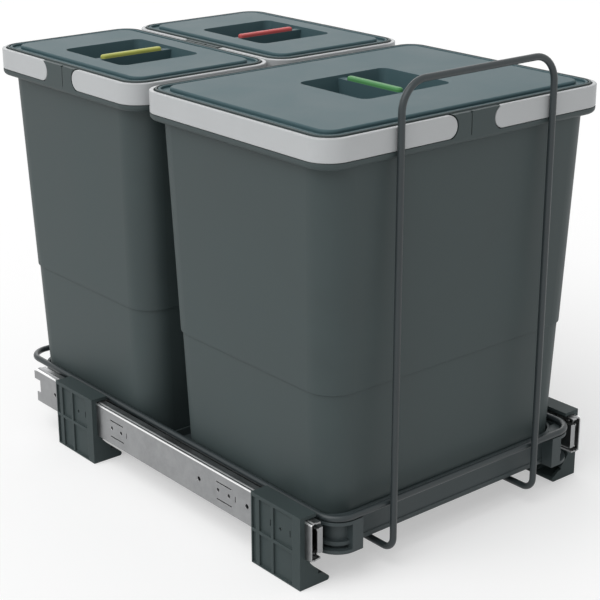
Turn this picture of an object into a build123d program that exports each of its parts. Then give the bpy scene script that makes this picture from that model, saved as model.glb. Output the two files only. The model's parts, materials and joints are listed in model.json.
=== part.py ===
from build123d import *
import os

# Pull-out waste unit for a kitchen base cabinet: one wide and two narrow bins on a moulded tray
# that rolls out on two ball-bearing runners. Millimetres, +Z up, the front faces -Y.
# Depths (Y) count from the front of the front brackets until a piece is written out.

# Overall sizes
unit_width = 356.2              # over the outer faces of the brackets
runner_length = 450.0
handle_top_z = 399.6            # top edge of the carrying handles
rims_inside = 10.5              # sides of the rims inside the outer faces of the brackets
rims_ahead = 18.8               # front rim ahead of the front brackets
rims_beyond = 63.4              # rims longer, front to rear, than the runners
front_bin_deeper = 6.5          # front bin's rim against a rear one's

# Brackets
bracket_length = 67.6
bracket_wall = 5.5
bracket_setback = 124.4         # runner's length less the step from a front bracket to a rear one
flange_width = 18.0
flange_thickness = 3.5
flange_play = 0.05              # over the runner
foot_width = 33.0
foot_thickness = 5.0
web_thickness = 3.0
webs = 4
web_top = 12.3                  # corners of the webs' stepped edge: distance from the bracket's
web_neck = 11.0                 # outer face, and height
web_neck_z = 24.1
web_step = 21.0
web_step_z = 12.8
web_notch = 19.9
web_notch_z = 10.4
web_heel = 24.7
web_heel_z = 9.2
shelf_thickness = 2.5
shelf_overhang = 6.8            # ledge under the runner, inward of the bracket's wall
pocket_depth = 2.0
rib_z = 33.7
rib_height = 3.0
edge_rib = 1.2
column_starts = (0.155, 0.584, 0.902)   # of the recessed columns, in shares of the bracket's length
column_rib = 4.9
slot_height = 1.2
slot_depth = 1.4
slot_below = 0.6                # from a rib's underside to the slot below it
slot_share = 0.6                # of a column's width
screw_slot_low = 2.6            # upright slots beside the screw, below and above the runner's middle
screw_slot_high = 3.8
foot_hole_radius = 2.25
foot_hole_inset = 22.0          # from the outer face of the bracket

# Runners
runner_height = 37.3
runner_floor_z = 29.15
runner_ahead = 8.2              # runner's front end ahead of the front brackets
sheet = 1.2
ball_radius = 1.5
ball_play = 0.1
race_depth = 0.8                # depth of a raceway in its member's flat
rows_apart = 0.8                # from the outer balls to the inner ones, across the runner
channel_cover = 1.1             # members' arms beyond the inner balls
web_gap = 1.3                   # from the outer member's web to the middle member's
middle_setback = 6.2
middle_shorter = 18.0           # than the outer member
inner_shorter = 12.0
pressed_ys = (122.7, 297.7)     # groups of pressed slots and holes, from the outer member's front end
pressed_half = 11.5
pressed_low = -9.5              # slots below and above the runner's middle
pressed_high = 7.8
small_hole_radius = 1.8
small_hole_ahead = 7.3          # holes ahead of and behind the middle of a group
small_hole_behind = 8.9
tick_ahead = 16.8
tick_height = 6.0
round_hole_ys = (88.7, 160.8)
round_hole_radius = 2.4
end_hole_from_rear = 36.0
end_hole_radius = 2.0
rear_notch_length = 6.8
rear_notch_low = -7.5
rear_notch_high = 6.5
rear_tongue = 4.0
rear_tongue_height = 8.5
cage_front = 114.0
cage_length = 200.0
cage_thickness = 0.8
cage_width = 4.5
cage_offset = 0.25              # inner cage off its balls, clear of the middle member's bulge
balls_per_row = 5
bumper_length = 12.0
end_tab_width = 5.8             # tab across the front end of the inner member
end_tab_thickness = 1.5

# Tray, corner pieces and wires
tray_inside = 27.1              # sides of the tray inside the outer faces of the brackets
tray_behind = 14.3              # front of the tray behind the front rim
tray_ahead = 16.6               # and its rear ahead of the rear rims
tray_corner = 30.0
tray_wall = 2.5
tray_floor_z = 30.0
tray_floor = 2.5
tray_top_z = 60.0
bead = 0.8
bead_lift = 3.2
bead_height = 1.8
corner_fit = 0.1                # between the tray and its corner pieces
divider = 2.0
divider_height = 8.0
wire_radius = 3.1
ring_z = 63.8
ring_outside = 2.0              # wire ring's centre line outside the tray's sides
wires_apart = 0.4               # between the ring and the hoop
ring_ahead = 5.0                # ring's rear ahead of the rear rims
ring_corner = 20.8
pad_radius = 23.0
pad_core_radius = 15.0
pad_collar_radius = 19.0
pad_block = 12.0
pad_lip = 3.2
collar_height = 3.6
spacer_length = 12.0
front_spacer = 28.0             # middle of the front spacers from the tray's front
rear_spacer = 58.0              # and of the rear ones from its rear
spacer_half_height = 10.0
hoop_half_width = 90.3
hoop_gap = 0.5                  # to the front rim
hoop_above = 36.9               # hoop's centre line above the handles
hoop_leg_z = 18.8
hoop_corner = 25.0
hoop_bend = 12.0
clip_width = 14.0
clip_length = 12.0
clip_wall = 2.4
clip_places = (0.08, 0.42, 0.76)        # along the tray, in shares of its depth
hoop_reach = 0.8                # share of the tray's depth that the hoop's legs run back

# Bins
rear_bins_apart = 2.0
front_to_rear_rims = 10.7
rim_corner = 24.0
wall = 2.4
draft = 0.032                   # inward slope of the walls, mm for each mm down
plain_inset = 9.2               # from the rim to the body, on faces without handle pivots
front_pivot_inset = 6.2         # the same on the front bin's faces with pivots
rear_pivot_inset = 8.5          # and on the rear bins'
body_corner = 28.0
foot_radius = 6.0
step_z = 173.0
step_inset = 1.2
rim_lip_height = 6.2
rim_lip_wall = 3.4
rim_lip_round = 4.5
rim_plate = 2.2
neck_inset = 5.0
neck_wall = 2.2
neck_height = 21.8
neck_round = 0.8
play = 0.3                      # between pieces that rest against each other

# Carrying handles
handle_height = 20.1
handle_thickness = 3.8
handle_edge = 1.0
pivot_offset = 32.5             # from the middle of the bin to each pivot
pad_gap = 1.05                  # round a handle's end
stub_radius = 3.0
stub_play = 0.08
pad_groove = 1.0
pad_groove_offset = 6.0
pad_notch = 3.0

# Lids
lid_above = 2.4                 # panel's top above the handles
lid_inset = 7.8
lid_sheet = 2.2
edge_bead = 2.6                 # width of the bead round the lid
edge_bead_drop = 1.2            # its top below the panel's top
channel_drop = 3.5              # floor between bead and panel, below the panel's top
panel_inset = 16.5
panel_corner = 13.0
panel_round = 2.0
pocket_long = 106.0
pocket_short = 91.0
pocket_corner = 9.0
pocket_depth_z = 22.0
pocket_taper = 3.5
bridge_thickness = 8.5
bridge_drop = 2.5
strip_length = 70.0
strip_width = 7.4
strip_thickness = 4.5
strip_recess = 1.0
strip_round = 2.0

# Screws
screw_radius = 1.5
screw_hole_play = 0.15
screw_head_radius = 3.2
runner_head = 0.9
tray_head = 1.3
screw_y = 29.0
screw_tip_depth = 1.6           # tips of the bracket screws, behind the face they come out of

# Places that follow from the sizes above
outer_row_u = sheet + web_gap + ball_radius + 2 * ball_play     # inward from the runner's outer face
inner_row_u = outer_row_u + 2 * ball_radius + rows_apart
channel_depth = inner_row_u + ball_radius + channel_cover
runner_thickness = channel_depth + 2 * sheet
bracket_height = runner_floor_z + runner_height + flange_play + flange_thickness
bracket_pitch = runner_length - bracket_setback
rims_width = unit_width - 2 * rims_inside
rear_bin_depth = (runner_length + rims_beyond - front_to_rear_rims - front_bin_deeper) / 2
front_bin_depth = rear_bin_depth + front_bin_deeper
wall_x = -unit_width / 2
runner_x = wall_x + bracket_wall
runner_mid_z = runner_floor_z + runner_height / 2
inner_face_x = runner_x + runner_thickness
spacer_x = inner_face_x + play
rim_front = -rims_ahead
front_rim_rear = rim_front + front_bin_depth
rear_rim_front = front_rim_rear + front_to_rear_rims
rear_rim_rear = rear_rim_front + rear_bin_depth
hoop_y = rim_front - hoop_gap - wire_radius
tray_half_width = unit_width / 2 - tray_inside
tray_front = rim_front + tray_behind
tray_rear = rear_rim_rear - tray_ahead
ring_half_width = tray_half_width + ring_outside
ring_front = hoop_y + 2 * wire_radius + wires_apart
ring_rear = rear_rim_rear - ring_ahead
hoop_top_z = handle_top_z + hoop_above
centre_y = (hoop_y - wire_radius + rear_rim_rear) / 2
tray_pad_top_z = ring_z - wire_radius - play
bin_floor_z = tray_floor_z + tray_floor + play
handle_bottom_z = handle_top_z - handle_height
pivot_z = handle_top_z - handle_height / 2
rim_top_z = handle_bottom_z - play
rim_bottom_z = rim_top_z - rim_lip_height
neck_top_z = rim_top_z + neck_height
lid_top_z = handle_top_z + lid_above
lid_bottom_z = rim_top_z + play
channel_z = lid_top_z - channel_drop
spacer_ys = (tray_front + front_spacer, tray_rear - rear_spacer)


# Plain shapes

def block(x0, x1, y0, y1, z0, z1):
    """Box between two corners."""
    return Pos((x0 + x1) / 2, (y0 + y1) / 2, (z0 + z1) / 2) * Box(x1 - x0, y1 - y0, z1 - z0)


def bar(x, y, z, radius, length, axis):
    """Round bar centred on a point, along the axis named X, Y or Z."""
    turn = {"X": (0, 90, 0), "Y": (90, 0, 0), "Z": (0, 0, 0)}[axis]
    return Pos(x, y, z) * Rot(*turn) * Cylinder(radius, length)


def shrink(outline, dx, dy=None, corner=None):
    """Move in the sides of an outline (x0, x1, y0, y1, corner radius)."""
    x0, x1, y0, y1, r = outline
    dy = dx if dy is None else dy
    r = r - dx if corner is None else corner
    return x0 + dx, x1 - dx, y0 + dy, y1 - dy, r


def face_at(outline, z):
    """Outline as a flat face at a height."""
    x0, x1, y0, y1, r = outline
    return Pos((x0 + x1) / 2, (y0 + y1) / 2, z) * RectangleRounded(x1 - x0, y1 - y0, r)


def slab(outline, z0, z1):
    """Straight-sided plate over an outline."""
    return extrude(face_at(outline, z0), z1 - z0, dir=(0, 0, 1))


def tapered(low, z0, high, z1):
    """Solid whose walls slope from one outline to another."""
    return loft([face_at(low, z0), face_at(high, z1)], ruled=True)


def joined(pieces):
    """Union of a list of pieces."""
    whole = pieces[0]
    for piece in pieces[1:]:
        whole += piece
    return whole


# Brackets: an L of wall and foot, webs between them, a ledge under the runner and a flange over it

def bracket():
    """Front left bracket."""
    x, length = wall_x, bracket_length
    flange_z = bracket_height - flange_thickness
    body = block(x, x + bracket_wall, 0, length, 0, bracket_height)
    body += block(x, x + flange_width, 0, length, flange_z, bracket_height)
    body += block(x, runner_x + shelf_overhang, 0, length, runner_floor_z - shelf_thickness, runner_floor_z)
    toe = foot_thickness / 2
    body += block(x, x + foot_width - toe, 0, length, 0, foot_thickness)
    body += bar(x + foot_width - toe, length / 2, toe, toe, length, "Y")
    for k in range(webs):
        body += Pos(0, (length - web_thickness) * k / (webs - 1), 0) * bracket_web()
    for y0, y1 in pocket_columns():
        for z0, z1 in ((edge_rib, rib_z - rib_height / 2), (rib_z + rib_height / 2, flange_z)):
            body -= block(x - 1, x + pocket_depth, y0, y1, z0, z1)
    body -= moulding_slots(flange_z)
    body -= bar(x + foot_hole_inset, length / 2, 0, foot_hole_radius, 3 * foot_thickness, "Z")
    body -= bar(x, screw_y, runner_mid_z, screw_radius + screw_hole_play, 3 * bracket_wall, "X")
    return body


def bracket_web():
    """Web between wall, ledge and foot, stepped down to the toe."""
    x, top = wall_x, runner_floor_z - shelf_thickness / 2
    toe_x = x + foot_width - foot_thickness / 2
    outline = [(x, 0), (x, top), (x + web_top, top), (x + web_neck, web_neck_z)]
    outline += [(x + web_step, web_step_z), (x + web_notch, web_notch_z), (x + web_heel, web_heel_z)]
    outline += [(toe_x, foot_thickness), (toe_x, 0)]
    plane = Plane(origin=(0, 0, 0), x_dir=(1, 0, 0), z_dir=(0, -1, 0))
    return extrude(plane * make_face(Polyline(*outline, close=True)), web_thickness, dir=(0, 1, 0))


def pocket_columns():
    """Start and end, along Y, of the recessed columns in the bracket's outer face."""
    starts = [bracket_length * share for share in column_starts]
    ends = [starts[1] - rib_height, starts[2] - column_rib, bracket_length - edge_rib]
    return list(zip(starts, ends))


def moulding_slots(flange_z):
    """Slots under the flange and the middle rib, and the upright ones beside the screw."""
    x, depth = wall_x + pocket_depth, slot_depth
    cuts = []
    for y0, y1 in pocket_columns()[:2]:
        middle, half = (y0 + y1) / 2, (y1 - y0) * slot_share / 2
        for rib_bottom in (flange_z, rib_z - rib_height / 2):
            top = rib_bottom - slot_below
            cuts.append(block(x - 1, x + depth, middle - half, middle + half, top - slot_height, top))
        low, high = runner_mid_z - screw_slot_low, runner_mid_z + screw_slot_high
        side = middle - half
        cuts.append(block(x - 1, x + depth, side - slot_height / 2, side + slot_height / 2, low, high))
    return joined(cuts)


# Runners: sections are drawn as depth inward from the runner's outer face and height about its middle

def band(u0, u1, v0, v1):
    """Pair of rectangles above and below the runner's middle."""
    strip = Rectangle(u1 - u0, v1 - v0)
    return Pos((u0 + u1) / 2, (v0 + v1) / 2) * strip + Pos((u0 + u1) / 2, -(v0 + v1) / 2) * strip


def upright(u0, u1, v):
    """Rectangle that crosses the runner's middle."""
    return Pos((u0 + u1) / 2, 0) * Rectangle(u1 - u0, 2 * v)


def rounds(u, v, radius):
    """Circles at the upper and lower balls."""
    return Pos(u, v) * Circle(radius) + Pos(u, -v) * Circle(radius)


def outer_row_v():
    """Height of the outer balls above the runner's middle."""
    return runner_height / 2 - sheet - ball_radius - ball_play


def inner_row_v():
    """Height of the inner balls above the runner's middle."""
    return outer_row_v() - 2 * race_depth - sheet


def outer_section():
    """Cabinet member: web and two arms, each bulged round its balls and turned in at the end."""
    v = outer_row_v()
    race = ball_radius + ball_play
    low = v + race_depth
    shape = upright(0, sheet, low + sheet) + band(0, channel_depth, low, low + sheet)
    shape += rounds(outer_row_u, v, race + sheet) & band(0, channel_depth, low, runner_height)
    shape += band(channel_depth - 1.0, channel_depth, low - 0.7, low + sheet)
    return shape - rounds(outer_row_u, v, race)


def middle_section():
    """Middle member: raceways outside for the outer balls and inside for the inner ones."""
    outer_v, inner_v = outer_row_v(), inner_row_v()
    race = ball_radius + ball_play
    flat = outer_v - race_depth
    web_u = sheet + web_gap
    end = channel_depth - 0.7
    shape = upright(web_u, web_u + sheet, flat) + band(web_u, end, flat - sheet, flat)
    shape += rounds(outer_row_u, outer_v, race + sheet) & band(web_u, end, 0, flat)
    shape += rounds(inner_row_u, inner_v, race + sheet) & band(web_u, end, flat - sheet, outer_v + race)
    return shape - rounds(outer_row_u, outer_v, race) - rounds(inner_row_u, inner_v, race)


def inner_section():
    """Carriage member: web on the tray's side and two arms with raceways outside."""
    v = inner_row_v()
    race = ball_radius + ball_play
    flat = v - race_depth
    start = inner_row_u - race - 0.2
    shape = upright(runner_thickness - sheet, runner_thickness, flat)
    shape += band(start, runner_thickness, flat - sheet, flat)
    shape += rounds(inner_row_u, v, race + sheet) & band(start, runner_thickness, 0, flat)
    return shape - rounds(inner_row_u, v, race)


def member(section, y0, length):
    """Section of the left runner pushed along Y."""
    plane = Plane(origin=(runner_x, y0, runner_mid_z), x_dir=(1, 0, 0), z_dir=(0, -1, 0))
    return extrude(plane * section, length, dir=(0, 1, 0))


def runner_outer():
    """Outer member with its pressed slots, holes and notched rear end."""
    y0 = -runner_ahead
    y1 = y0 + runner_length
    body = member(outer_section(), y0, runner_length)
    through = (runner_x - 1, runner_x + sheet + web_gap / 3)
    z, half_slot = runner_mid_z, slot_height / 2
    holes = [(y1 - end_hole_from_rear, end_hole_radius)]
    for y in (screw_y, screw_y + bracket_pitch):
        holes.append((y, screw_radius + screw_hole_play))
    for y in round_hole_ys:
        holes.append((y0 + y, round_hole_radius))
    for y in pressed_ys:
        middle = y0 + y
        holes.append((middle - small_hole_ahead, small_hole_radius))
        holes.append((middle + small_hole_behind, small_hole_radius))
        slots = [(middle, pressed_half, z + height, half_slot) for height in (pressed_low, pressed_high)]
        slots.append((middle - tick_ahead, half_slot, z, tick_height / 2))
        for at_y, half_y, at_z, half_z in slots:
            body -= block(*through, at_y - half_y, at_y + half_y, at_z - half_z, at_z + half_z)
    for y, radius in holes:
        body -= bar(runner_x, y, z, radius, 4 * sheet, "X")
    body -= block(*through, y1 - rear_notch_length, y1 + 1, z + rear_notch_low, z + rear_notch_high)
    low = z + rear_notch_high
    return body + block(runner_x, runner_x + sheet, y1 - 1, y1 + rear_tongue, low, low + rear_tongue_height)


def runner_middle():
    """Middle member, set back from the ends of the others."""
    return member(middle_section(), middle_setback - runner_ahead, runner_length - middle_shorter)


def runner_inner():
    """Inner member with a tab folded across its front end and the holes that the tray is screwed to."""
    body = member(inner_section(), -runner_ahead, runner_length - inner_shorter)
    half = inner_row_v() - race_depth - sheet / 2
    y0, y1 = -runner_ahead, end_tab_thickness - runner_ahead
    z = runner_mid_z
    body += block(inner_face_x - end_tab_width, inner_face_x, y0, y1, z - half, z + half)
    for y in spacer_ys:
        body -= bar(inner_face_x, y, runner_mid_z, screw_radius + screw_hole_play, 4 * sheet, "X")
    return body


def ball_ys():
    """Places of the balls along a cage."""
    pitch = cage_length / balls_per_row
    return [cage_front + pitch * (k + 0.5) for k in range(balls_per_row)]


def cage(u, v, shift):
    """Upper and lower strip that keep one pair of ball rows spaced, set off the rows by shift."""
    half = cage_thickness / 2
    low, high = u + shift - cage_width / 2, u + shift + cage_width / 2
    strips = member(band(low, high, v - half, v + half), cage_front, cage_length)
    for y in ball_ys():
        for side in (-1, 1):
            strips -= bar(runner_x + u, y, runner_mid_z + side * v, ball_radius + ball_play, 4 * half, "Z")
    return strips


def balls(u, v):
    """Balls of one cage."""
    return Compound(children=[Pos(runner_x + u, y, runner_mid_z + side * v) * Sphere(ball_radius)
                              for y in ball_ys() for side in (-1, 1)])


def runner_bumper():
    """Plastic buffer behind the front end of the middle member."""
    start = sheet + web_gap + sheet
    end = inner_row_u - ball_radius - ball_play - play - 0.2
    half = outer_row_v() - race_depth - 2 * sheet - 0.8
    y, z = middle_setback - runner_ahead, runner_mid_z
    return block(runner_x + start, runner_x + end, y, y + bumper_length, z - half, z + half)


# Carriage: tray, corner pieces, wire ring and wire hoop

def tray_outline():
    """Plan of the tray."""
    return -tray_half_width, tray_half_width, tray_front, tray_rear, tray_corner


def ring_outline():
    """Plan of the wire ring's centre line."""
    return -ring_half_width, ring_half_width, ring_front, ring_rear, ring_corner


def base_tray():
    """Shallow tray with a bead round its foot, dividers between the bins and four spacers."""
    outline = tray_outline()
    body = slab(outline, tray_floor_z, tray_top_z) + tray_bead(0.0)
    body += joined([spacer(y) + mirror(spacer(y), about=Plane.YZ) for y in spacer_ys])
    body -= slab(shrink(outline, tray_wall), tray_floor_z + tray_floor, tray_top_z + 1)
    body += dividers()
    for side in (-1, 1):
        for y in spacer_ys:
            body -= bar(side * tray_half_width, y, runner_mid_z, screw_radius + screw_hole_play, 30, "X")
            body -= bar(side * (tray_half_width - tray_wall), y, runner_mid_z, screw_head_radius + 0.2,
                        2 * tray_head + 0.2, "X")
    return body


def tray_bead(grow):
    """Bead round the tray near its bottom edge, grown for the room it needs in a corner piece."""
    low, high = tray_floor_z + bead_lift, tray_floor_z + bead_lift + bead_height
    return slab(shrink(tray_outline(), -bead - grow), low - grow, high + grow)


def spacer(y):
    """Block on the tray's left side that meets the runner and carries the wire ring."""
    half = spacer_length / 2
    low = block(spacer_x, -tray_half_width + 1, y - half, y + half,
                runner_mid_z - spacer_half_height, min(runner_mid_z + spacer_half_height, tray_pad_top_z))
    high = block(-ring_half_width - wire_radius, -tray_half_width + 1, y - half, y + half,
                 runner_mid_z, tray_pad_top_z)
    return low + high


def dividers():
    """Low ribs on the tray's floor between the feet of the bins."""
    low, high = tray_floor_z + tray_floor - 0.5, tray_floor_z + tray_floor + divider_height
    inside = tray_half_width - tray_corner
    front_foot = foot_outline("front")[3] + play + 1.0
    rear_foot = foot_outline("rear_left")[2] - play - 1.0
    between = -foot_outline("rear_left")[1] - play - 1.0
    ribs = [block(-inside, inside, front_foot, front_foot + divider, low, high),
            block(-inside, inside, rear_foot - divider, rear_foot, low, high)]
    half = divider / 2
    for x in (half - between, between - half):
        ribs.append(block(x - half, x + half, rear_foot - 1, tray_rear - tray_corner, low, high))
    return joined(ribs)


def tray_corner_piece():
    """Front left corner piece: lips top and bottom, a collared core and an upright block each side."""
    x0, _, y0, _, r = shrink(ring_outline(), ring_corner - pad_radius)
    centre_x, front_y = x0 + r, y0 + r
    plan = (x0, -x0, y0, tray_rear, r)
    top = tray_pad_top_z
    corner = block(x0, centre_x, y0, front_y, 0, top)
    body = slab(plan, tray_floor_z, tray_floor_z + pad_lip) + slab(plan, top - pad_lip, top)
    collar_z = tray_floor_z + 2 * pad_lip
    body += slab(shrink(plan, pad_radius - pad_collar_radius), collar_z, collar_z + collar_height)
    body += slab(shrink(plan, pad_radius - pad_core_radius), tray_floor_z, top)
    body &= corner
    body += block(centre_x - 1.5, centre_x - 1.5 + pad_block, y0, tray_front + 1, tray_floor_z, top)
    body += block(x0, 1 - tray_half_width, front_y - 1.5, front_y - 1.5 + pad_block, tray_floor_z, top)
    return body - slab(shrink(tray_outline(), -corner_fit), 0, top + 1) - tray_bead(corner_fit)


def wire_ring():
    """Closed wire that runs round the bins just above the tray's wall."""
    path = face_at(ring_outline(), ring_z).faces()[0].outer_wire()
    return sweep(Plane(origin=path @ 0, z_dir=path % 0) * Circle(wire_radius), path=path)


def wire_hoop():
    """Front pull: one wire that runs forward under the tray, up, across and back the same way."""
    x, z = hoop_half_width, hoop_leg_z
    rear = tray_front + (tray_rear - tray_front) * hoop_reach
    corners = [(-x, rear, z), (-x, hoop_y, z), (-x, hoop_y, hoop_top_z),
               (x, hoop_y, hoop_top_z), (x, hoop_y, z), (x, rear, z)]
    path = FilletPolyline(*corners, radius=[hoop_bend, hoop_corner, hoop_corner, hoop_bend])
    return sweep(Plane(origin=path @ 0, z_dir=path % 0) * Circle(wire_radius), path=path)


def hoop_clips():
    """Saddles under the tray that hold the hoop's legs."""
    pieces = []
    low = hoop_leg_z - wire_radius - clip_wall
    for x in (-hoop_half_width, hoop_half_width):
        for share in clip_places:
            y = tray_front + (tray_rear - tray_front) * share
            saddle = block(x - clip_width / 2, x + clip_width / 2, y - clip_length / 2, y + clip_length / 2,
                           low, tray_floor_z)
            pieces.append(saddle - bar(x, y, hoop_leg_z, wire_radius + 0.1, 2 * clip_length, "Y"))
    return Compound(children=pieces)


# Bins, handles and lids. The front bin's handles turn on pivots in its front and rear faces,
# the rear bins' on pivots in their left and right faces.

def rim_outline(name):
    """Plan of one bin's rim."""
    half = rims_width / 2
    gap = rear_bins_apart / 2
    return {"front": (-half, half, rim_front, front_rim_rear, rim_corner),
            "rear_left": (-half, -gap, rear_rim_front, rear_rim_rear, rim_corner),
            "rear_right": (gap, half, rear_rim_front, rear_rim_rear, rim_corner)}[name]


def body_outline(name, z, thinner=0.0, below=False):
    """Plan of one bin's body at a height; below picks the narrower part under the step."""
    grow = (rim_top_z - z) * draft + thinner
    if below:
        grow += step_inset
    pivot_inset = front_pivot_inset if name == "front" else rear_pivot_inset
    dx, dy = (plain_inset, pivot_inset) if name == "front" else (pivot_inset, plain_inset)
    return shrink(rim_outline(name), dx + grow, dy + grow, body_corner - thinner)


def foot_outline(name):
    """Plan of one bin's foot."""
    return body_outline(name, bin_floor_z, 0.0, True)


def body_solid(name, thinner, bottom, top):
    """Body in its two drafted parts, shrunk by thinner."""
    foot, below_step = [body_outline(name, z, thinner, True) for z in (bottom, step_z)]
    above_step, mouth = [body_outline(name, z, thinner) for z in (step_z, top)]
    return tapered(foot, bottom, below_step, step_z), tapered(above_step, step_z, mouth, top)


def bin_body(name):
    """Bin with its curled rim, the neck that guides the lid, and the panels between the handles."""
    rim = rim_outline(name)
    lower, upper = body_solid(name, 0.0, bin_floor_z, rim_top_z)
    lower = fillet(lower.faces().sort_by(Axis.Z)[0].edges(), foot_radius)
    lip = slab(rim, rim_bottom_z, rim_top_z)
    lip = fillet(lip.faces().sort_by(Axis.Z)[0].edges(), rim_lip_round)
    lip -= slab(shrink(rim, rim_lip_wall), rim_bottom_z - 1, rim_top_z - rim_plate)
    neck = slab(shrink(rim, neck_inset), rim_top_z - rim_plate, neck_top_z)
    neck -= slab(shrink(rim, neck_inset + neck_wall), rim_top_z, neck_top_z + 1)
    neck = fillet(neck.faces().sort_by(Axis.Z)[-1].edges(), neck_round)
    body = lower + upper + lip + neck + handle_panels(name)
    inner_lower, inner_upper = body_solid(name, wall, bin_floor_z + wall, rim_top_z + 1)
    body -= inner_lower
    body -= inner_upper
    for place in pivots(name, neck_inset + neck_wall / 2):
        body -= bar(*place, stub_radius + stub_play, 3 * neck_wall, pivot_axis(name))
    return body


def pivot_axis(name):
    """Axis that a bin's handles turn about."""
    return "Y" if name == "front" else "X"


def pivots(name, depth):
    """Pivot places of one bin at a depth inside its rim, face by face, the low end of each face first."""
    x0, x1, y0, y1, _ = rim_outline(name)
    middle_x, middle_y = (x0 + x1) / 2, (y0 + y1) / 2
    if name == "front":
        faces = (y0 + depth, y1 - depth)
        return [(middle_x + side * pivot_offset, face, pivot_z) for face in faces for side in (-1, 1)]
    faces = (x0 + depth, x1 - depth)
    return [(face, middle_y + side * pivot_offset, pivot_z) for face in faces for side in (-1, 1)]


def handle_panels(name):
    """Raised panels of the rim between the rounded ends of the two handles."""
    rim = rim_outline(name)
    x0, x1, y0, y1, _ = rim
    x, y = (x0 + x1) / 2, (y0 + y1) / 2
    ring = slab(rim, rim_top_z - 1, handle_top_z) - slab(shrink(rim, neck_inset + 1.2), 0, handle_top_z + 1)
    if name == "front":
        panels = ring & block(x - pivot_offset, x + pivot_offset, y0, y1, 0, handle_top_z)
    else:
        panels = ring & block(x0, x1, y - pivot_offset, y + pivot_offset, 0, handle_top_z)
    for place in pivots(name, 0):
        space = bar(*place, handle_height / 2 + pad_gap, 4 * neck_inset, pivot_axis(name))
        panels -= space & block(x0, x1, y0, y1, rim_top_z, handle_top_z)
    top = handle_top_z
    cuts = ((pad_groove, pad_groove / 2, rim_top_z), (2 * pad_groove, pad_notch / 2, top - pad_notch / 2))
    for deep, half, low in cuts:
        if name == "front":
            for face, at in ((y0, x - pad_groove_offset), (y1, x + pad_groove_offset)):
                panels -= block(at - half, at + half, face - deep, face + deep, low, top)
        else:
            for face, at in ((x0, y - pad_groove_offset), (x1, y + pad_groove_offset)):
                panels -= block(face - deep, face + deep, at - half, at + half, low, top)
    return panels


def outward(name, edge):
    """Whether an edge lies on the rim's outer wall."""
    x0, x1, y0, y1, r = rim_outline(name)
    point = edge @ 0.5
    across = max(abs(point.X - (x0 + x1) / 2) - (x1 - x0) / 2 + r, 0)
    along = max(abs(point.Y - (y0 + y1) / 2) - (y1 - y0) / 2 + r, 0)
    return abs((across ** 2 + along ** 2) ** 0.5 - r) < 0.05


def handle(name, end):
    """Carrying handle on a bin's low (-1) or high (1) end: a U-shaped band with rounded ends on stubs."""
    rim = rim_outline(name)
    x0, x1, y0, y1, _ = rim
    x, y = (x0 + x1) / 2, (y0 + y1) / 2
    above, beyond = handle_top_z + 1, rims_width
    body = slab(rim, handle_bottom_z, handle_top_z) - slab(shrink(rim, handle_thickness), 0, above)
    if name == "front":
        near, far = sorted((x + end * pivot_offset, x + end * beyond))
        body &= block(near, far, y0 - 1, y1 + 1, 0, above)
    else:
        near, far = sorted((y + end * pivot_offset, y + end * beyond))
        body &= block(x0 - 1, x1 + 1, near, far, 0, above)
    first = 0 if end < 0 else 1
    for place in pivots(name, handle_thickness / 2)[first::2]:
        body += bar(*place, handle_height / 2, handle_thickness, pivot_axis(name))
    stub_end = neck_inset + neck_wall - 0.2
    stub_start = handle_thickness / 2
    for place in pivots(name, (stub_start + stub_end) / 2)[first::2]:
        body += bar(*place, stub_radius, stub_end - stub_start, pivot_axis(name))
    return fillet([edge for edge in body.edges() if outward(name, edge)], handle_edge)


def lid(name):
    """Lid: skirt inside the neck, bead, channel, raised panel, and finger pocket with its bridge."""
    rim = rim_outline(name)
    edge = shrink(rim, lid_inset)
    panel = shrink(rim, panel_inset, panel_inset, panel_corner)
    body = slab(edge, lid_bottom_z, lid_top_z - edge_bead_drop)
    body -= slab(shrink(edge, edge_bead), channel_z, lid_top_z)
    body = fillet(body.faces().sort_by(Axis.Z)[-1].edges(), edge_bead * 0.4)
    raised = slab(panel, channel_z - lid_sheet, lid_top_z)
    body += fillet(raised.faces().sort_by(Axis.Z)[-1].edges(), panel_round)
    body -= slab(shrink(edge, lid_sheet), lid_bottom_z - 1, channel_z - lid_sheet)
    body -= slab(shrink(panel, lid_sheet), lid_bottom_z - 1, lid_top_z - lid_sheet)
    body += pocket(name, lid_sheet, lid_top_z - 0.6)
    body -= pocket(name, 0.0, lid_top_z)
    return body + bridge(name)


def pocket(name, grow, top):
    """Tapered tub of the finger pocket; grow gives its outside."""
    x0, x1, y0, y1, _ = rim_outline(name)
    x, y = (x0 + x1) / 2, (y0 + y1) / 2
    across, along = (pocket_long, pocket_short) if name == "front" else (pocket_short, pocket_long)
    mouth = (x - across / 2, x + across / 2, y - along / 2, y + along / 2, pocket_corner)
    low = lid_top_z - pocket_depth_z - grow
    return tapered(shrink(mouth, pocket_taper - grow), low, shrink(mouth, -grow), top)


def bridge(name):
    """Bridge that the fingers close on, with a recess for the coloured strip."""
    x0, x1, y0, y1, _ = rim_outline(name)
    x, y = (x0 + x1) / 2, (y0 + y1) / 2
    half, reach = bridge_thickness / 2, pocket_long
    bottom, top = lid_top_z - pocket_depth_z - 0.5, lid_top_z - bridge_drop
    if name == "front":
        beam = block(x - half, x + half, y - reach, y + reach, bottom, top)
    else:
        beam = block(x - reach, x + reach, y - half, y + half, bottom, top)
    return (beam & pocket(name, lid_sheet / 2, lid_top_z)) - strip_plan(name, play / 2)


def strip_plan(name, grow):
    """Bar with rounded ends, set into the top of the bridge; grow widens it for the room it needs."""
    x0, x1, y0, y1, _ = rim_outline(name)
    turn = 90 if name == "front" else 0
    plan = Rot(0, 0, turn) * SlotOverall(strip_length + 2 * grow, strip_width + 2 * grow)
    at = Pos((x0 + x1) / 2, (y0 + y1) / 2, lid_top_z - bridge_drop - strip_recess)
    return extrude(at * plan, strip_thickness, dir=(0, 0, 1))


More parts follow.
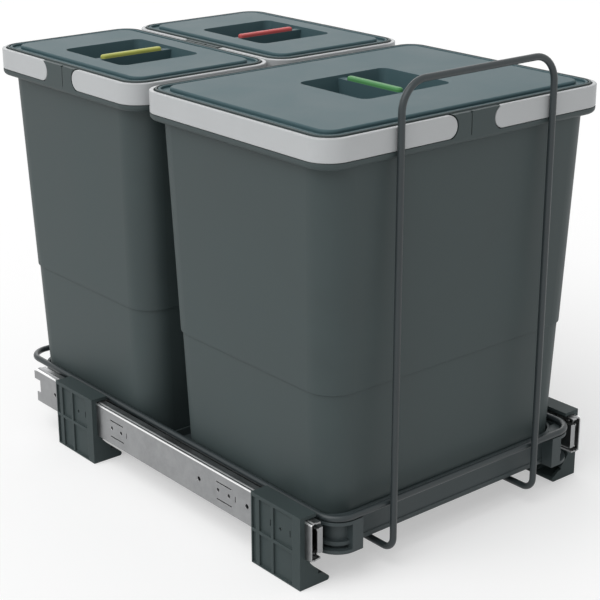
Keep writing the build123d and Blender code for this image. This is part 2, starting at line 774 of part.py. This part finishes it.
def lid_strip(name):
    """Coloured strip with rounded upper edges."""
    strip = strip_plan(name, 0.0)
    return fillet(strip.faces().sort_by(Axis.Z)[-1].edges(), strip_round)


# Screws

def bracket_screws():
    """Screws from inside the left outer member into its two brackets."""
    pieces = []
    start = runner_x + sheet
    for y in (screw_y, screw_y + bracket_pitch):
        head = bar(start + runner_head / 2, y, runner_mid_z, screw_head_radius, runner_head, "X")
        end = wall_x + pocket_depth + screw_tip_depth
        pieces.append(head + bar((start + end) / 2, y, runner_mid_z, screw_radius, start - end, "X"))
    return Compound(children=pieces)


def tray_screws():
    """Screws from inside the tray through its spacers into the runners' inner members."""
    pieces = []
    start = tray_half_width - tray_wall
    tip = 2 * sheet - inner_face_x
    for side in (-1, 1):
        for y in spacer_ys:
            at = side * (start + tray_head / 2 + 0.1)
            head = bar(at, y, runner_mid_z, screw_head_radius, tray_head, "X")
            at = side * (start + tray_head + tip) / 2
            shank = bar(at, y, runner_mid_z, screw_radius, tip - start - tray_head, "X")
            pieces.append(head + shank)
    return Compound(children=pieces)


def write(name, piece):
    """Write one sub-part with the origin under the middle of the unit."""
    export_step(Pos(0, -centre_y, 0) * piece, f"parts/{name}.step")


def main():
    """Build and write every sub-part."""
    os.makedirs("parts", exist_ok=True)
    outer_v, inner_v = outer_row_v(), inner_row_v()
    paired = {
        "bracket_front": bracket(),
        "bracket_rear": Pos(0, bracket_pitch, 0) * bracket(),
        "bracket_screws": bracket_screws(),
        "runner_outer": runner_outer(),
        "runner_middle": runner_middle(),
        "runner_inner": runner_inner(),
        "runner_bumper": runner_bumper(),
        "cage_outer": cage(outer_row_u, outer_v, 0.0),
        "cage_inner": cage(inner_row_u, inner_v, cage_offset),
        "balls_outer": balls(outer_row_u, outer_v),
        "balls_inner": balls(inner_row_u, inner_v),
        "tray_corner": tray_corner_piece(),
    }
    for name, piece in paired.items():
        write(f"{name}_left", piece)
        write(f"{name}_right", mirror(piece, about=Plane.YZ))
    write("base_tray", base_tray())
    write("tray_screws", tray_screws())
    write("wire_ring", wire_ring())
    write("wire_hoop", wire_hoop())
    write("hoop_clips", hoop_clips())
    for name in ("front", "rear_left", "rear_right"):
        write(f"bin_{name}", bin_body(name))
        write(f"lid_{name}", lid(name))
        write(f"lid_strip_{name}", lid_strip(name))
        ends = ("left", "right") if name == "front" else ("front", "rear")
        for end, side in zip(ends, (-1, 1)):
            write(f"handle_{name}_{end}", handle(name, side))


main()
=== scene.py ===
# %% [markdown]
# # Finishing a pull-out waste bin unit
# The imported CAD model already has every moulded, pressed and bent piece at its real size. What is left for
# Blender is the finish: the satin plastic of the bins and lids, the fine grain of the tray and brackets, the
# zinc-plated runners, the coated wire, and the studio they stand in.
# The first cell loads the model and moves each piece into the world's frame.

import json
import math

import bmesh
import bpy
from mathutils import Matrix, Vector


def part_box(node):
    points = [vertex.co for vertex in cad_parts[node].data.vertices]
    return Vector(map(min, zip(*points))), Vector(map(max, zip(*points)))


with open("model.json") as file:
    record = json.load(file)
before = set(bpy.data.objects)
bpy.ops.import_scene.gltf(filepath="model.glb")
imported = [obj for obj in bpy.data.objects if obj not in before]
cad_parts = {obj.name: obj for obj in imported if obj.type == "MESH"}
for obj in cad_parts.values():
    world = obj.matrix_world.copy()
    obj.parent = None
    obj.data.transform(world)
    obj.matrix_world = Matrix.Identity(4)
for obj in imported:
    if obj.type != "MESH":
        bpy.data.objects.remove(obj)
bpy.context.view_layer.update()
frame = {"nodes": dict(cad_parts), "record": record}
nodes = frame["nodes"]

# %% [markdown]
# ## Camera
# The photograph was taken from the unit's front left, about 20 degrees above the floor, with a long lens.
# One could turn a camera by hand until the picture fits. Here the place, direction and lens are known from
# the straight lines of the unit, so the camera is built from them: one vector back towards the camera, and a
# small roll.

# %% Camera at the photograph's angle
azimuth, elevation, roll = (math.radians(angle) for angle in (-39.72, 20.04, -0.14))
camera_place = (-0.92706, -1.13684, 0.69538)
image_side = 600
focal_pixels = 1554.0
sensor_width = 36.0

back = Vector((math.sin(azimuth) * math.cos(elevation),
               -math.cos(azimuth) * math.cos(elevation),
               math.sin(elevation)))
camera_data = bpy.data.cameras.new("photo_camera")
camera_data.sensor_width = sensor_width
camera_data.lens = focal_pixels * sensor_width / image_side
camera = bpy.data.objects.new("photo_camera", camera_data)
camera.rotation_mode = "QUATERNION"
camera.location = camera_place
camera.rotation_quaternion = ((-back).to_track_quat("-Z", "Y").to_matrix()
                              @ Matrix.Rotation(roll, 3, "Z")).to_quaternion()
bpy.context.scene.collection.objects.link(camera)
bpy.context.scene.camera = camera
print("lens", round(camera_data.lens, 2), "mm")

# %% [markdown]
# ## Node helpers
# A material in Blender is a small graph. Five helpers keep the later cells short: one fills a node's sockets,
# one adds a node, one joins two sockets, one makes an empty node group with named sockets, and one writes the
# sum that every finish needs, a base plus a pattern times a strength.
# An effect that several finishes share is a group, so that it is built once and tuned in each material.

# %% Helpers for node graphs
def fill(node, values):
    """Give a node's named or numbered inputs their values, where there are any."""
    for socket, value in (values or {}).items():
        node.inputs[socket].default_value = value


def add(tree, kind, values=None, **settings):
    """Add a node, set its properties and then the values of its inputs."""
    node = tree.nodes.new("ShaderNode" + kind)
    for name, value in settings.items():
        setattr(node, name, value)
    fill(node, values)
    return node


def join(tree, source, output, target, socket):
    """Link a named output to a named or numbered input."""
    tree.links.new(source.outputs[output], target.inputs[socket])


def group(name, inputs, outputs):
    """Empty node group: inputs are (name, kind, value), outputs are (name, kind)."""
    tree = bpy.data.node_groups.new(name, "ShaderNodeTree")
    for label, kind, value in inputs:
        socket = tree.interface.new_socket(label, in_out="INPUT", socket_type="NodeSocket" + kind)
        if value is not None:
            socket.default_value = value
    for label, kind in outputs:
        tree.interface.new_socket(label, in_out="OUTPUT", socket_type="NodeSocket" + kind)
    return tree, tree.nodes.new("NodeGroupInput"), tree.nodes.new("NodeGroupOutput")


def offset(tree, source, output, strength, base):
    """Base plus a pattern times a strength, as one Math node."""
    node = add(tree, "Math", {1: strength, 2: base}, operation="MULTIPLY_ADD")
    join(tree, source, output, node, 0)
    return node


# %% [markdown]
# ## Moulded grain
# A polypropylene moulding isn't flat. The tool is spark-eroded, which leaves a grain of about half a
# millimetre, and the plastic sinks and clouds a little over some centimetres. One noise texture per scale
# gives that: the fine one drives the bump, the broad one drives the tint, and both drive the gloss.
# The group puts out a height, a gloss change and a tint, and each plastic decides how much of them to take.
# Most of a noise lies near its middle, so the broad one is spread from there to the range of -1 to 1.

# %% Group: moulded grain
spread_to_one = {"From Min": 0.3, "From Max": 0.7, "To Min": -1.0, "To Max": 1.0}
grain_in_gloss = 0.5

grain_group, grain_in, grain_out = group(
    "moulded_grain",
    [("Place", "Vector", None), ("Grain per metre", "Float", 1800.0), ("Cloud per metre", "Float", 14.0)],
    [("Height", "Float"), ("Gloss", "Float"), ("Tint", "Float")])
fine = add(grain_group, "TexNoise", {"Detail": 3.0, "Roughness": 0.6})
broad = add(grain_group, "TexNoise", {"Detail": 4.0, "Roughness": 0.55, "Distortion": 0.4})
for texture, label in ((fine, "Grain per metre"), (broad, "Cloud per metre")):
    join(grain_group, grain_in, "Place", texture, "Vector")
    join(grain_group, grain_in, label, texture, "Scale")
join(grain_group, fine, "Fac", grain_out, "Height")
spread = add(grain_group, "MapRange", spread_to_one)
join(grain_group, broad, "Fac", spread, "Value")
join(grain_group, spread, "Result", grain_out, "Tint")
mixed = add(grain_group, "Math", {1: grain_in_gloss}, operation="MULTIPLY_ADD")
join(grain_group, fine, "Fac", mixed, 0)
join(grain_group, spread, "Result", mixed, 2)
join(grain_group, mixed, "Value", grain_out, "Gloss")
print("moulded_grain:", len(grain_group.nodes), "nodes")

# %% [markdown]
# ## Rubbed edges and painted edge highlights
# Hands, bags and the cabinet rub the edges of a moulding, which turn a shade paler there. The same pale
# colour also stands for the light that a rounded edge catches, so it is partly wear and partly a painted
# highlight.
# A mask of the edges can be painted by hand or taken from the mesh's curvature, but a CAD mesh has too few
# points for that. The Bevel node looks round the corner instead: where its rounded normal leaves the face's
# own normal, there is an edge. A noise breaks the mask up, so that the wear and the painted highlight aren't
# a drawn line.
# The rounded normal goes on to the finishes as well, where it softens each edge by the same radius.

# %% Group: rubbed edges and painted edge highlights
turned_is_edge = {"From Min": 0.99, "From Max": 0.82, "To Min": 0.0, "To Max": 1.0}
noise_breaks_edges = {"From Min": 0.35, "From Max": 0.62, "To Min": 0.15, "To Max": 1.0}
patches_per_metre = 160.0

edge_group, edge_in, edge_out = group(
    "worn_and_highlit_edges",
    [("Place", "Vector", None), ("Radius", "Float", 0.0006)],
    [("Normal", "Vector"), ("Edge", "Float")])
rounded = add(edge_group, "Bevel", samples=6)
join(edge_group, edge_in, "Radius", rounded, "Radius")
own = add(edge_group, "NewGeometry")
across = add(edge_group, "VectorMath", operation="DOT_PRODUCT")
join(edge_group, rounded, "Normal", across, 0)
join(edge_group, own, "Normal", across, 1)
turned = add(edge_group, "MapRange", turned_is_edge)
join(edge_group, across, "Value", turned, "Value")
patches = add(edge_group, "TexNoise", {"Scale": patches_per_metre, "Detail": 4.0, "Roughness": 0.65})
join(edge_group, edge_in, "Place", patches, "Vector")
broken = add(edge_group, "MapRange", noise_breaks_edges)
join(edge_group, patches, "Fac", broken, "Value")
# Edge mask: rubbed wear together with a painted highlight along the edge.
worn_and_highlit = add(edge_group, "Math", operation="MULTIPLY")
join(edge_group, turned, "Result", worn_and_highlit, 0)
join(edge_group, broken, "Result", worn_and_highlit, 1)
join(edge_group, worn_and_highlit, "Value", edge_out, "Edge")
join(edge_group, rounded, "Normal", edge_out, "Normal")
print("worn_and_highlit_edges:", len(edge_group.nodes), "nodes")

# %% [markdown]
# ## Rolled steel
# The runners are pressed from zinc-plated strip. Rolling draws fine lines along the strip, so the noise is
# stretched along Y, and the zinc leaves soft clouds of brighter and duller grey over them.

# %% Group: rolled steel
lines_per_metre = (2600.0, 22.0, 2600.0)
zinc_per_metre = 55.0
lines_in_gloss = 1.2

steel_group, steel_in, steel_out = group(
    "rolled_steel",
    [("Place", "Vector", None)],
    [("Height", "Float"), ("Gloss", "Float"), ("Tint", "Float")])
stretch = add(steel_group, "Mapping", {"Scale": lines_per_metre})
join(steel_group, steel_in, "Place", stretch, "Vector")
lines = add(steel_group, "TexNoise", {"Scale": 1.0, "Detail": 3.0, "Roughness": 0.6})
join(steel_group, stretch, "Vector", lines, "Vector")
zinc = add(steel_group, "TexNoise",
           {"Scale": zinc_per_metre, "Detail": 6.0, "Roughness": 0.7, "Distortion": 0.3})
join(steel_group, steel_in, "Place", zinc, "Vector")
cloud = add(steel_group, "MapRange", spread_to_one)
join(steel_group, zinc, "Fac", cloud, "Value")
join(steel_group, lines, "Fac", steel_out, "Height")
join(steel_group, cloud, "Result", steel_out, "Tint")
dulled = add(steel_group, "Math", {1: lines_in_gloss}, operation="MULTIPLY_ADD")
join(steel_group, lines, "Fac", dulled, 0)
join(steel_group, cloud, "Result", dulled, 2)
join(steel_group, dulled, "Value", steel_out, "Gloss")
print("rolled_steel:", len(steel_group.nodes), "nodes")

# %% [markdown]
# ## Painted highlight on the runners' crest
# The upper outside corner of each runner is the one that shines: the strip is bent there, and the bend
# catches the light. That shine is painted into the finish as a pale stripe, a painted highlight. A new strip
# of mesh could carry it, but would stand proud of the steel. The group below marks the narrow stripe in the
# finish: above one height, and outside one distance from the middle of the unit, so that it serves both
# runners.

# %% Group: painted highlight on the crest
crest_highlight_group, crest_in, crest_out = group(
    "painted_crest_highlight",
    [("Place", "Vector", None), ("Height", "Float", 0.0), ("Side", "Float", 0.0), ("Fade", "Float", 0.0004)],
    [("Mask", "Float")])
parts = add(crest_highlight_group, "SeparateXYZ")
join(crest_highlight_group, crest_in, "Place", parts, "Vector")
distance = add(crest_highlight_group, "Math", operation="ABSOLUTE")
join(crest_highlight_group, parts, "X", distance, 0)
both = add(crest_highlight_group, "Math", operation="MULTIPLY")
for index, (source, output, label) in enumerate(((parts, "Z", "Height"), (distance, "Value", "Side"))):
    beyond = add(crest_highlight_group, "Math", operation="SUBTRACT")
    join(crest_highlight_group, source, output, beyond, 0)
    join(crest_highlight_group, crest_in, label, beyond, 1)
    faded = add(crest_highlight_group, "Math", operation="DIVIDE", use_clamp=True)
    join(crest_highlight_group, beyond, "Value", faded, 0)
    join(crest_highlight_group, crest_in, "Fade", faded, 1)
    join(crest_highlight_group, faded, "Value", both, index)
# Mask of the painted highlight along the crest.
join(crest_highlight_group, both, "Value", crest_out, "Mask")
print("painted_crest_highlight:", len(crest_highlight_group.nodes), "nodes")

# %% [markdown]
# ## One recipe for all finishes
# Every finish takes the same route: a surface group says where the surface is a little higher, duller or
# paler, and the edge group says where it is rubbed and gets a painted highlight. The recipe below turns those
# into the colour, roughness and normal of one Principled shader. Only the runners give a crest, a painted
# highlight whose mask joins that of the edges.
# What is the same all over a piece, such as its metalness, is a plain value on the shader.

# %% Recipe for a finish
finishes = {}


def finish(name, surface, color, worn_and_highlight_color, roughness, bump, tint=0.06, gloss=0.04, edge=0.35,
           radius=0.0006, values=None, shader=None, crest=None):
    """Material from a surface group; values are for the group's sockets, shader for the shader's."""
    material = finishes[name] = bpy.data.materials.new("finish_" + name)
    material.use_nodes = True
    tree = material.node_tree
    principled = tree.nodes["Principled BSDF"]
    place = add(tree, "TexCoord")
    pattern = add(tree, "Group", node_tree=surface)
    edges = add(tree, "Group", node_tree=edge_group)
    join(tree, place, "Object", pattern, "Place")
    join(tree, place, "Object", edges, "Place")
    fill(edges, {"Radius": radius})
    fill(pattern, values)
    shade = offset(tree, pattern, "Tint", tint, 1.0)
    body = add(tree, "VectorMath", {0: color}, operation="SCALE")
    join(tree, shade, "Value", body, "Scale")
    amount = offset(tree, edges, "Edge", edge, 0.0)
    if crest:
        stripe = add(tree, "Group", node_tree=crest_highlight_group)
        join(tree, place, "Object", stripe, "Place")
        fill(stripe, crest)
        edge_amount, amount = amount, add(tree, "Math", operation="MAXIMUM")
        join(tree, edge_amount, "Value", amount, 0)
        join(tree, stripe, "Mask", amount, 1)
    # The second colour is rubbed wear with a painted highlight on the edges, and a painted highlight on the
    # runners' crest.
    paint = add(tree, "Mix", data_type="RGBA")
    sockets = {socket.identifier: socket for socket in (*paint.inputs, *paint.outputs)}
    tree.links.new(amount.outputs["Value"], sockets["Factor_Float"])
    tree.links.new(body.outputs["Vector"], sockets["A_Color"])
    sockets["B_Color"].default_value = (*worn_and_highlight_color, 1.0)
    tree.links.new(sockets["Result_Color"], principled.inputs["Base Color"])
    dull = offset(tree, pattern, "Gloss", gloss, roughness)
    join(tree, dull, "Value", principled, "Roughness")
    relief = add(tree, "Bump", {"Strength": 1.0, "Distance": bump})
    join(tree, pattern, "Height", relief, "Height")
    join(tree, edges, "Normal", relief, "Normal")
    join(tree, relief, "Normal", principled, "Normal")
    fill(principled, shader)
    print(material.name, "from", surface.name)


# %% [markdown]
# ## The plastics
# The unit has one family of dark plastic in four finishes: the bins are grained and hardly shine, the lids
# are smoother, paler and bluer, and the tray and brackets are the darkest. The buffers in the runners are
# black. The carrying handles are the one pale grey and have the most gloss, and each lid has a satin strip of
# its own colour. At a low angle a dark plastic looks pale because of what it mirrors, so its specular level
# is set first, and its colour after that.

# %% Dark plastics
# Each finish's second colour goes on its edges: rubbed wear together with a painted highlight.
finish("bin_plastic", grain_group, (0.047, 0.064, 0.065), (0.12, 0.14, 0.14),
       roughness=0.52, bump=0.00003, shader={"Specular IOR Level": 0.3})
finish("lid_plastic", grain_group, (0.057, 0.103, 0.115), (0.15, 0.18, 0.19),
       roughness=0.5, bump=0.000015, radius=0.0004, shader={"Specular IOR Level": 0.16})
finish("bracket_plastic", grain_group, (0.045, 0.060, 0.061), (0.13, 0.16, 0.16),
       roughness=0.52, bump=0.00004, edge=0.5, values={"Grain per metre": 1300.0},
       shader={"Specular IOR Level": 0.14})
finish("tray_plastic", grain_group, (0.041, 0.054, 0.057), (0.11, 0.13, 0.13),
       roughness=0.50, bump=0.00003, edge=0.4, shader={"Specular IOR Level": 0.35})
finish("bumper_plastic", grain_group, (0.016, 0.017, 0.017), (0.05, 0.05, 0.05),
       roughness=0.55, bump=0.00002, shader={"Specular IOR Level": 0.4})

# %% Pale handles and coloured strips
# Here too the second colour is rubbed wear with a painted highlight on the edges.
finish("handle_plastic", grain_group, (0.455, 0.47, 0.478), (0.62, 0.63, 0.64),
       roughness=0.38, bump=0.000015, tint=0.03, shader={"Specular IOR Level": 0.5})
strips = {"strip_green": ((0.075, 0.25, 0.085), (0.15, 0.38, 0.16)),
          "strip_yellow": ((0.43, 0.45, 0.10), (0.55, 0.56, 0.22)),
          "strip_red": ((0.53, 0.09, 0.09), (0.62, 0.18, 0.17))}
for strip, (strip_color, strip_worn_and_highlit) in strips.items():
    finish(strip, grain_group, strip_color, strip_worn_and_highlit,
           roughness=0.5, bump=0.00001, shader={"Specular IOR Level": 0.25})

# %% [markdown]
# ## The metals
# Zinc-plated strip is a mid grey metal with drawn lines. The balls are polished, and the wire is steel under
# a thin dark epoxy coat, which is a smooth plastic on top with a faint orange peel.
# The runner's painted highlight on the crest is placed from the runner's own box. The box's top is the bulge
# of the ball race, which stands 0.8 mm over the corner, so the stripe reaches 1.9 mm down the side and 1.3 mm
# in over the top.

# %% Steel and coated wire
runner_low, runner_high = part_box("runner_outer_left")
crest_below = 0.0027
crest_inside = 0.0013
metal = {"Metallic": 1.0}

# The runner's near-white second colour is a painted highlight on its crest and edges; on the cage and screws
# the second colour is a painted highlight on the edges.
finish("runner_steel", steel_group, (0.30, 0.305, 0.31), (0.97, 0.97, 0.97),
       roughness=0.33, bump=0.00001, tint=0.14, gloss=0.05, edge=0.35, radius=0.0005, shader=metal,
       crest={"Height": runner_high[2] - crest_below, "Side": -runner_low[0] - crest_inside})
finish("cage_steel", steel_group, (0.38, 0.38, 0.38), (0.6, 0.6, 0.6),
       roughness=0.4, bump=0.00001, tint=0.1, radius=0.0002, shader=metal)
finish("screw_steel", steel_group, (0.55, 0.55, 0.54), (0.8, 0.8, 0.8),
       roughness=0.28, bump=0.000005, radius=0.0002, shader=metal)
finish("ball_steel", steel_group, (0.72, 0.72, 0.73), (0.72, 0.72, 0.73),
       roughness=0.12, bump=0.000001, tint=0.03, gloss=0.02, edge=0.0, radius=0.0001, shader=metal)
finish("wire_paint", grain_group, (0.030, 0.039, 0.042), (0.09, 0.1, 0.1),
       roughness=0.36, bump=0.00004, edge=0.0, radius=0.0002,
       values={"Grain per metre": 420.0}, shader={"Specular IOR Level": 0.4})

# %% [markdown]
# ## Dressing the nodes
# The record names a material slot for every node, under the same names as the finishes above, so one loop
# dresses the whole unit, and a node that someone adds later is dressed as soon as its slot has a finish.

# %% Give each node its finish
slot_of = {part["node"]: part["material_slot"] for part in frame["record"]["subparts"]}
for node_name, node in nodes.items():
    node.data.materials.clear()
    node.data.materials.append(finishes[slot_of[node_name]])
print({slot: list(slot_of.values()).count(slot) for slot in sorted(set(slot_of.values()))})

# %% [markdown]
# ## Studio floor
# The photograph is a cut-out on white. A large pale floor takes the shadow here. As light, it is a plain pale
# grey. To the camera, and in what the steel and the plastic mirror, it is white: there its own colour is
# darker, which lightens the shadow, and a glow makes up the rest.
# Light Path tells the two kinds of ray apart. The helper is not a group, because the export can't read Light
# Path inside one.

# %% Rays that the eye follows
def seen_by_eye(tree):
    """1 for a ray from the camera, from a mirroring surface or through glass, else 0."""
    rays = add(tree, "LightPath")
    direct = add(tree, "Math", operation="ADD")
    join(tree, rays, "Is Camera Ray", direct, 0)
    join(tree, rays, "Is Glossy Ray", direct, 1)
    total = add(tree, "Math", operation="ADD", use_clamp=True)
    join(tree, direct, "Value", total, 0)
    join(tree, rays, "Is Transmission Ray", total, 1)
    return total


# %% Floor
floor_reach = 9.0
floor_drop = 0.0005
floor_color = 0.93
seen_color = 0.62
seen_glow = 0.43
white = (1.0, 1.0, 1.0, 1.0)

sheet = bmesh.new()
bmesh.ops.create_grid(sheet, x_segments=1, y_segments=1, size=floor_reach,
                      matrix=Matrix.Translation((0, 0, -floor_drop)))
floor_mesh = bpy.data.meshes.new("floor")
sheet.to_mesh(floor_mesh)
sheet.free()
floor = bpy.data.objects.new("floor", floor_mesh)
bpy.context.scene.collection.objects.link(floor)
floor_paint = bpy.data.materials.new("floor_paint")
floor_paint.use_nodes = True
floor_tree = floor_paint.node_tree
floor_shader = floor_tree.nodes["Principled BSDF"]
fill(floor_shader, {"Roughness": 0.9, "Specular IOR Level": 0.0, "Emission Color": white})
floor_seen = seen_by_eye(floor_tree)
for socket, unseen, seen in (("Base Color", floor_color, seen_color),
                             ("Emission Strength", 0.0, seen_glow)):
    level = add(floor_tree, "MapRange", {"To Min": unseen, "To Max": seen})
    join(floor_tree, floor_seen, "Value", level, "Value")
    join(floor_tree, level, "Result", floor_shader, socket)
floor_mesh.materials.append(floor_paint)
print("floor", round(2 * floor_reach, 1), "m across,", floor_drop * 1000, "mm under the feet")

# %% [markdown]
# ## World and lamps
# The world is white where the eye looks at it, and gentler as light, so that the colours keep their depth.
# A broad soft sun from the upper left makes the left sides lighter than the front ones, and a weak one from
# behind lights the far sides a little.

# %% World
sky_as_light = 0.42
sky_as_seen = 1.0

world = bpy.data.worlds.new("studio")
bpy.context.scene.world = world
world.use_nodes = True
sky = world.node_tree.nodes["Background"]
fill(sky, {"Color": white})
strength = add(world.node_tree, "MapRange", {"To Min": sky_as_light, "To Max": sky_as_seen})
join(world.node_tree, seen_by_eye(world.node_tree), "Value", strength, "Value")
join(world.node_tree, strength, "Result", sky, "Strength")
print("world", sky_as_light, "as light,", sky_as_seen, "as seen")


# %% Lamps
def soft_sun(name, toward, energy, spread_degrees):
    """Broad sun lamp that shines from a direction."""
    data = bpy.data.lights.new(name, "SUN")
    data.energy = energy
    data.angle = math.radians(spread_degrees)
    lamp = bpy.data.objects.new(name, data)
    lamp.rotation_mode = "QUATERNION"
    lamp.rotation_quaternion = Vector(toward).to_track_quat("Z", "Y")
    bpy.context.scene.collection.objects.link(lamp)
    print(name, energy, "over", spread_degrees, "degrees")


soft_sun("key_from_left", toward=(-0.62, -0.05, 0.78), energy=1.85, spread_degrees=60)
soft_sun("rim_from_behind", toward=(0.45, 0.75, 0.45), energy=0.35, spread_degrees=40)
bpy.context.scene.view_settings.view_transform = "Standard"
